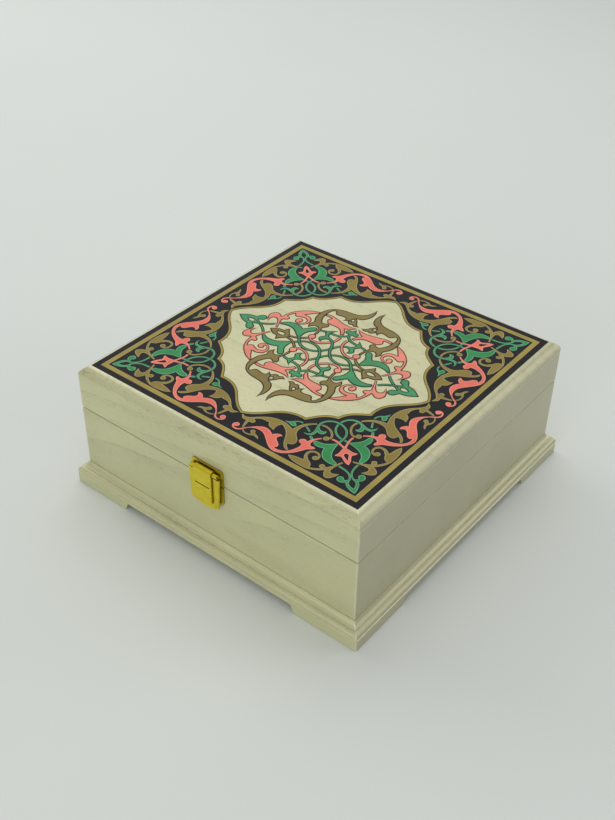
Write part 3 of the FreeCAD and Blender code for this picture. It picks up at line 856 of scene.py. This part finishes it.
# The medallion's motifs, one quarter of it
CENTRE = [
    # gold horned leaf that comes down as a stem to a body with a tail, and the small leaf beside it
    leaf("gold", tip(4.2, 71.0), (4.3, 67.6), (4.9, 64.8), (6.0, 62.0), (7.8, 59.4), (10.4, 57.3),
         (13.2, 56.2), (16.8, 55.6), (21.0, 55.2), (24.6, 54.5), (28.0, 53.2), (30.8, 51.4), (33.0, 48.9),
         (34.6, 45.9), (35.5, 42.8), (35.8, 39.4), (35.5, 36.0), (34.6, 32.6), (33.0, 29.8), (31.9, 27.5),
         (32.5, 25.6), (33.0, 23.8), (32.4, 21.6), tip(30.5, 19.2), (29.9, 21.0), (28.6, 23.0),
         (26.9, 23.8), (25.0, 23.2), (23.4, 22.2), (22.4, 20.0), (22.0, 17.4), tip(21.8, 14.6),
         tip(19.6, 14.6), (19.6, 17.0), (20.2, 20.2), (21.1, 23.0), tip(21.6, 25.4), (20.4, 26.6),
         (19.3, 28.2), (19.2, 30.0), (20.2, 31.6), (22.0, 32.1), (23.6, 31.2), (25.0, 30.6), (26.6, 31.2),
         (28.2, 33.4), (29.7, 36.6), (30.5, 40.2), (30.7, 43.6), (30.3, 46.6), (29.3, 49.0), (28.2, 49.8),
         (27.2, 49.1), (26.3, 47.4), (24.8, 46.3), (22.4, 46.3), (19.8, 47.0), (17.4, 47.1), (15.9, 46.2),
         (15.6, 44.8), tip(16.4, 42.4), (14.2, 43.9), (12.4, 45.4), tip(11.2, 47.0), (11.2, 48.2),
         (10.4, 49.8), tip(8.8, 51.4), (6.4, 52.3), (4.4, 53.8), (2.8, 56.2), (1.8, 59.2), (1.5, 62.4),
         (1.9, 65.6), (2.9, 68.4)),
    leaf("gold", tip(0.8, 43.0), (2.4, 42.4), (4.3, 41.3), (5.8, 41.6), tip(7.1, 42.7), (8.6, 41.8),
         (10.4, 42.0), (11.9, 43.4), (12.9, 45.2), (12.9, 47.4), (11.6, 50.0), tip(9.6, 51.9), (7.4, 49.6),
         (5.7, 47.2), (4.4, 45.2), (2.8, 43.8),
         hole=[(9.0, 46.9), (10.4, 46.6), (11.2, 47.5), (10.8, 48.9), (9.4, 48.5)], level=-0.5),
    # pink half-palmette along the top of the middle, its stem broken by the gold one
    leaf("pink", tip(0.2, 41.0), (4.0, 39.8), (8.2, 39.5), (12.2, 39.9), (16.2, 40.9), (20.0, 42.0),
         (24.0, 42.8), (27.6, 43.0), tip(30.8, 42.4), tip(30.5, 39.6), (27.6, 40.0), tip(24.0, 39.5),
         (25.0, 38.2), (25.4, 36.6), (24.6, 34.4), (22.8, 32.9), (20.4, 32.3), (16.6, 32.3), (13.4, 32.2),
         (10.6, 31.2), (8.4, 29.2), tip(6.2, 26.2), tip(3.6, 27.0), (4.4, 29.6), (5.8, 32.0),
         tip(8.0, 34.4), (5.6, 35.5), (3.4, 37.2), (1.6, 39.0)),
    vine("pink", (3.4, 23.0, 2.6), (3.2, 20.4, 2.6), (3.6, 17.0, 2.6), (4.9, 13.9, 2.5), (6.6, 11.8, 2.5),
         (9.0, 9.4, 2.5), (12.0, 7.6, 2.5), (15.2, 6.8, 2.5), (18.0, 7.0, 2.5), (20.2, 8.4, 2.8),
         level=0.5),
    leaf("pink", tip(20.6, 14.6), (22.2, 13.8), (23.3, 12.2), (23.4, 10.4), (22.4, 8.6), (20.4, 7.8),
         (18.4, 8.8), (17.3, 10.6), (17.7, 12.4), (19.0, 13.8), level=0.5),
    # pink half-palmette on the right, with a spiral and a two-lobed foot
    leaf("pink", tip(35.8, 41.4), (38.9, 40.2), (42.4, 38.6), (46.2, 35.8), (49.6, 32.6), (52.2, 29.0),
         (53.9, 25.0), (54.8, 21.2), tip(55.1, 17.8), (56.6, 18.9), (58.4, 19.9), (60.4, 20.2),
         (62.4, 19.2), (63.8, 17.2), (64.3, 14.8), (63.6, 12.2), (62.2, 9.8), (60.6, 7.6), tip(58.6, 5.9),
         (59.6, 8.2), (60.0, 10.4), (59.4, 12.4), (57.6, 13.4), (55.6, 12.6), (53.8, 10.8), (52.2, 8.4),
         (50.8, 6.0), tip(49.6, 3.7), tip(47.6, 3.9), (49.0, 6.6), (50.2, 9.6), (51.2, 12.2), (51.9, 14.4),
         tip(51.7, 15.7), (50.2, 16.3), (48.9, 17.5), (48.4, 18.9), (49.1, 20.3), (50.4, 20.9),
         tip(51.7, 20.8), (51.7, 22.8), (51.0, 25.2), tip(49.7, 27.6), (48.8, 25.9), (47.2, 24.9),
         (45.4, 25.2), (43.2, 26.3), (40.6, 27.0), (38.2, 26.4), (36.7, 25.0), (36.3, 23.0), (37.2, 21.0),
         (38.8, 20.0), tip(40.1, 20.3), (39.2, 21.0), (38.7, 22.6), (39.6, 24.3), (41.6, 24.9),
         (43.4, 23.9), (44.2, 22.0), (43.8, 19.9), (42.4, 18.3), (40.4, 17.8), (38.0, 18.0), (35.6, 19.6),
         (33.9, 22.2), (33.4, 25.0), (34.2, 27.8), (36.2, 29.9), (39.0, 31.0), tip(42.8, 30.8),
         (41.0, 33.0), (38.8, 36.0), (37.0, 38.0), tip(35.7, 39.2)),
    # green strand from the small trefoil at the top to the half-palmette
    vine("green", (0.2, 28.8, 2.5), (1.6, 26.9, 2.5), (3.6, 25.2, 2.5), (6.0, 24.0, 2.5), (9.0, 23.4, 2.5),
         (12.6, 23.1, 2.5), (16.6, 22.7, 2.5), (20.2, 21.8, 2.5), level=-0.5),
    leaf("green", (22.9, 19.8), (23.6, 21.6), (25.2, 22.2), (27.0, 21.4), (28.8, 19.4), (30.4, 17.0),
         tip(32.2, 14.9), (34.2, 16.2), (37.0, 17.1), (40.4, 17.3), (43.6, 16.6), (46.4, 15.1),
         (48.8, 12.9), tip(50.4, 10.8), tip(49.0, 8.8), (46.8, 10.0), (43.6, 10.7), (40.4, 10.6),
         (37.6, 9.8), (34.8, 8.2), (32.2, 6.2), (30.2, 4.7), (28.4, 4.2), (27.2, 5.4), (27.0, 8.0),
         (27.0, 10.8), (26.3, 13.4), (24.8, 15.8), (23.2, 17.8), lift=1.0),
    # green curled leaf, and the middle strand that comes from it, in two lengths
    leaf("green", tip(9.8, 28.9), (11.3, 27.8), (13.0, 26.5), (14.8, 25.0), (16.2, 23.4), (16.2, 21.6),
         (15.0, 19.9), tip(13.6, 18.1), (14.6, 16.6), (15.8, 14.8), (15.7, 12.9), (14.4, 11.2),
         (12.8, 10.2), tip(11.0, 9.4), (12.0, 11.2), (11.8, 12.9), (10.6, 14.5), (8.8, 15.4),
         tip(7.0, 15.3), tip(6.6, 17.0), (9.0, 18.2), (11.0, 19.6), (11.8, 21.8), (11.8, 24.2),
         (11.2, 26.4), lift=1.0),
    vine("green", (8.6, 16.9, 2.4, 1.0), (6.0, 15.7, 2.5, 1.0), (3.6, 13.8, 2.5, 1.0),
         (1.8, 11.2, 2.5, 1.0), (0.6, 8.6, 2.5, 1.0), (-0.5, 6.2, 2.5, 1.0), (-1.8, 3.7, 2.5, 1.0),
         (-3.4, 1.4, 2.5, 1.0), (-5.4, -0.8, 2.5, 1.0), (-8.0, -2.7, 2.5, 0.8), (-11.0, -3.9, 2.5, 0.4),
         (-14.5, -4.3, 2.5, 0.0)),
    vine("green", (13.5, -4.3, 2.5, 0.0), (17.0, -4.0, 2.5, 0.4), (19.8, -3.0, 2.5, 1.0),
         (22.2, -1.4, 2.5, 1.0), (24.4, 0.8, 2.5, 1.0), (26.2, 3.0, 2.5, 1.0), (28.4, 5.6, 2.5, 1.0)),
    # green strand to the trefoil at the right
    vine("green", (52.6, 7.0, 2.4, 0.0), (54.4, 5.0, 2.4, 0.3), (56.6, 3.2, 2.4, 0.7),
         (59.0, 1.6, 2.4, 1.0), (61.6, 0.1, 2.3, 1.0), (64.0, -1.0, 2.3, 0.8), (66.6, -2.6, 2.4, 0.0)),
    # gold stems of the bud on the centre line
    vine("gold", (22.2, 7.6, 2.4), (23.8, 5.9, 2.4), (26.0, 4.0, 2.4), (28.6, 2.6, 2.4), (31.4, 1.7, 2.3),
         (34.6, 1.2, 2.2), level=0.5),
]

# Halves of the motifs that stand on the centre lines
END_TREFOIL_HALF = [tip(82.2, 0), (79.6, 2.0), (76.8, 3.9), (74.0, 5.1), (71.4, 5.7), tip(69.7, 6.0),
                    (68.9, 7.8), (67.8, 9.6), (66.2, 10.8), (64.4, 11.0), (62.8, 10.3), (61.8, 8.6),
                    (62.0, 6.6), (63.2, 4.8), tip(65.2, 4.0), (66.0, 3.2), tip(65.6, 1.4), (66.4, 0)]
END_TREFOIL_HOLE_HALF = [(67.2, 0), (67.9, 1.1), (69.4, 1.5), (71.2, 1.1), tip(73.1, 0)]
GOLD_BUD_HALF = [tip(51.6, 0), (49.8, 1.6), (47.8, 3.2), (45.6, 4.1), (43.4, 4.5), tip(41.7, 4.7),
                 (40.9, 6.8), tip(39.4, 9.0), (37.8, 6.4), (36.0, 4.2), (34.2, 2.2), (33.0, 0)]
GOLD_BUD_HOLE_HALF = [(37.8, 0), (38.8, 1.2), (40.6, 1.5), (42.6, 1.1), tip(44.8, 0)]
SMALL_TREFOIL_HALF = [tip(0, 38.8), (1.0, 37.6), (1.5, 36.5), tip(1.9, 35.3), (3.2, 35.7), (4.7, 35.2),
                      (5.5, 33.8), (5.4, 32.2), (4.4, 30.9), (3.0, 30.5), tip(1.8, 31.0), (1.4, 29.6),
                      (1.2, 28.0), (0, 27.6)]

# Whole motifs on the diagonals, at the left and right ends, and at the back and front of the medallion
CORNERS = [
    leaf("pink", *both_halves(BUD_HALF, in_diagonal), hole=both_halves(BUD_HOLE_HALF, in_diagonal)),
    leaf("green", *both_halves(TREFOIL_HALF, in_diagonal)),
]
ENDS = [
    leaf("green", *both_halves(END_TREFOIL_HALF, front_to_back),
         hole=both_halves(END_TREFOIL_HOLE_HALF, front_to_back)),
    leaf("gold", *both_halves(GOLD_BUD_HALF, front_to_back),
         hole=both_halves(GOLD_BUD_HOLE_HALF, front_to_back)),
]
TOPS = [leaf("green", *both_halves(SMALL_TREFOIL_HALF, right_to_left), level=-0.5)]


def draw_leaf(sheets, motif, inks, depth, order, ways):
    """Draws every copy of a closed shape; the order keeps tops apart that would lie level."""
    loops = [turned(smooth_outline(motif["outline"]), True)]
    if motif["hole"]:
        loops.append(turned(smooth_outline(motif["hole"]), False))
    filled = inset(loops, depth)
    for way in ways:
        lift = motif["lift"] if is_mirror(way) else 0.0
        rise = LEVEL_RISE * (motif["level"] + lift) + LAYER_STEP * order
        sheets[inks[0]].add(*plate(loops, EDGE_TOP + rise), way)
        sheets[inks[1]].add(*plate(filled, FILL_TOP + rise), way)


def draw_vine(sheets, motif, inks, depth, order, ways, halo):
    """Draws every copy of a strand; lifted copies have the halo, if any, in black round them."""
    laced = any(len(point) == 4 for point in motif["line"])
    for way in ways:
        lifted = laced and is_mirror(way)
        rise = LEVEL_RISE * motif["level"] + LAYER_STEP * (order + 0.5 * is_mirror(way))
        if lifted and halo:
            wider = vine_sections(motif["line"], -halo)
            sheets["black"].add(*ribbon(wider, EDGE_TOP + rise - HALO_DROP, True), way)
        sheets[inks[0]].add(*ribbon(vine_sections(motif["line"], 0.0), EDGE_TOP + rise, lifted), way)
        sheets[inks[1]].add(*ribbon(vine_sections(motif["line"], depth), FILL_TOP + rise, lifted), way)


def draw_motifs(sheets, motifs, inks_of, depth, ways, halo=0.0):
    """Draws each motif as a low plate in its edge's ink with a higher one in its own ink inside it."""
    for i, motif in enumerate(motifs):
        inks = inks_of[motif["ink"]]
        if "line" in motif:
            draw_vine(sheets, motif, inks, depth, i % LAYERS, ways, halo)
        else:
            draw_leaf(sheets, motif, inks, depth, i % LAYERS, ways)


def square(half):
    """The corners of a square about the lid's middle."""
    return [(half, half), (-half, half), (-half, -half), (half, -half)]


def square_ring(outer, inner):
    """The outside and the hole of a square frame."""
    return [turned(square(outer), True), turned(square(inner), False)]


def medallion():
    """The medallion's outline, and the outsides of the dark line and the gold line round it."""
    quarter = MEDALLION_EIGHTH + mirrored(MEDALLION_EIGHTH[:-1], in_diagonal)
    half = quarter + mirrored(quarter[:-1], front_to_back)
    edge = turned(smooth_outline(both_halves(half, right_to_left)), True)
    before = edge - np.roll(edge, 1, axis=0)
    after = np.roll(edge, -1, axis=0) - edge
    bend = np.arctan2(cross(before, after), (before * after).sum(axis=1))
    outward = -inward(edge) / np.cos(bend / 2)[:, None]
    return edge, edge + MEDALLION_OUTLINE * outward, edge + MEDALLION_LINE * outward


def print_lid():
    """Lays the print on the lid, one closed piece for each ink."""
    colours = {
        "black": PRINT_BLACK, "frame": PRINT_FRAME,
        "gold": PRINT_GOLD, "gold_edge": PRINT_GOLD_EDGE,
        "green": PRINT_GREEN, "green_edge": PRINT_GREEN_EDGE,
        "pink": PRINT_PINK, "pink_edge": PRINT_PINK_EDGE,
        "medallion_gold": MEDALLION_GOLD, "medallion_gold_edge": OUTLINE_GOLD,
        "medallion_green": MEDALLION_GREEN, "medallion_green_edge": OUTLINE_GREEN,
        "medallion_pink": MEDALLION_PINK, "medallion_pink_edge": OUTLINE_PINK,
    }
    sheets = {name: InkSheet() for name in colours}
    edge, outline, line = medallion()
    sheets["black"].add(*plate([turned(square(PRINT_HALF), True), edge[::-1]], GROUND_TOP))
    sheets["gold_edge"].add(*plate(square_ring(FRAME_OUTER, FRAME_INNER), EDGE_TOP))
    sheets["frame"].add(*plate(square_ring(FRAME_OUTER - FRAME_EDGE, FRAME_INNER + FRAME_EDGE), LINE_TOP))
    sheets["frame"].add(*plate([line, outline[::-1]], LINE_TOP))
    sheets["medallion_gold_edge"].add(*plate([outline, edge[::-1]], LINE_TOP))
    border_inks = {tone: (tone + "_edge", tone) for tone in ("gold", "green", "pink")}
    centre_inks = {tone: (f"medallion_{tone}_edge", "medallion_" + tone) for tone in border_inks}
    draw_motifs(sheets, BORDER, border_inks, BORDER_EDGE, EIGHT_WAYS, HALO)
    draw_motifs(sheets, CORNERS, border_inks, BORDER_EDGE, FOUR_WAYS)
    draw_motifs(sheets, CENTRE, centre_inks, CENTRE_OUTLINE, FOUR_WAYS)
    draw_motifs(sheets, ENDS, centre_inks, CENTRE_OUTLINE, FOUR_WAYS[::2])
    draw_motifs(sheets, TOPS, centre_inks, CENTRE_OUTLINE, FOUR_WAYS[:2])
    for name, sheet in sheets.items():
        slot = "print_" + name.replace("medallion_", "").replace("_edge", "").replace("frame", "gold")
        sheet.piece("lid_print_" + name, slot, ink("ink_" + name, colours[name]))


def camera():
    """Stands where the photograph was taken from, with the same field of view."""
    yaw, pitch, roll = (math.radians(a) for a in (CAMERA_YAW, CAMERA_PITCH, CAMERA_ROLL))
    forward = Vector((-math.sin(yaw) * math.cos(pitch), math.cos(yaw) * math.cos(pitch), -math.sin(pitch)))
    level = Vector((math.cos(yaw), math.sin(yaw), 0))
    above = level.cross(forward)
    right = math.cos(roll) * level + math.sin(roll) * above
    up = math.cos(roll) * above - math.sin(roll) * level
    data = bpy.data.cameras.new("camera")
    data.sensor_width = CAMERA_SENSOR
    data.lens = CAMERA_FOCAL_PIXELS / IMAGE_HEIGHT * CAMERA_SENSOR
    data.clip_start = CAMERA_NEAR
    made = bpy.data.objects.new("camera", data)
    turn = Matrix((right, up, -forward)).transposed().to_4x4()
    made.matrix_world = Matrix.Translation(CAMERA_PLACE) @ turn
    bpy.context.scene.collection.objects.link(made)
    bpy.context.scene.camera = made


def floor():
    """A wide, plain, pale floor."""
    bpy.ops.mesh.primitive_plane_add(size=FLOOR_SIZE)
    made = bpy.context.object
    made.name = "floor"
    material, tree, shader = new_material("floor_cloth")
    cloud = noise(tree, object_place(tree), FLOOR_CLOUD)
    clouded = two_toned(tree, cloud, FLOOR, FLOOR_TONES)
    set_inputs(tree, shader, Base_Color=clouded, Roughness=FLOOR_ROUGHNESS)
    made.data.materials.append(material)


def area_light(name, place, size, power):
    """A round soft light, turned to the box, that the camera doesn't see."""
    data = bpy.data.lights.new(name, "AREA")
    data.shape = "DISK"
    data.size = size
    data.energy = power
    made = bpy.data.objects.new(name, data)
    made.location = place
    made.rotation_euler = (Vector(LIGHT_TARGET) - Vector(place)).to_track_quat("-Z", "Y").to_euler()
    made.visible_camera = False
    bpy.context.scene.collection.objects.link(made)


def lights():
    """Wide soft lights all round, over an even fill."""
    world = bpy.data.worlds.new("studio")
    world.use_nodes = True
    background = world.node_tree.nodes["Background"]
    background.inputs["Color"].default_value = (1.0, 1.0, 1.0, 1.0)
    background.inputs["Strength"].default_value = EVEN_FILL
    bpy.context.scene.world = world
    for name, place, size, power in LIGHTS:
        area_light(name, place, size, power)


dress_cad_nodes()
print_lid()
floor()
lights()
camera()
bpy.context.scene.view_settings.view_transform = "Standard"
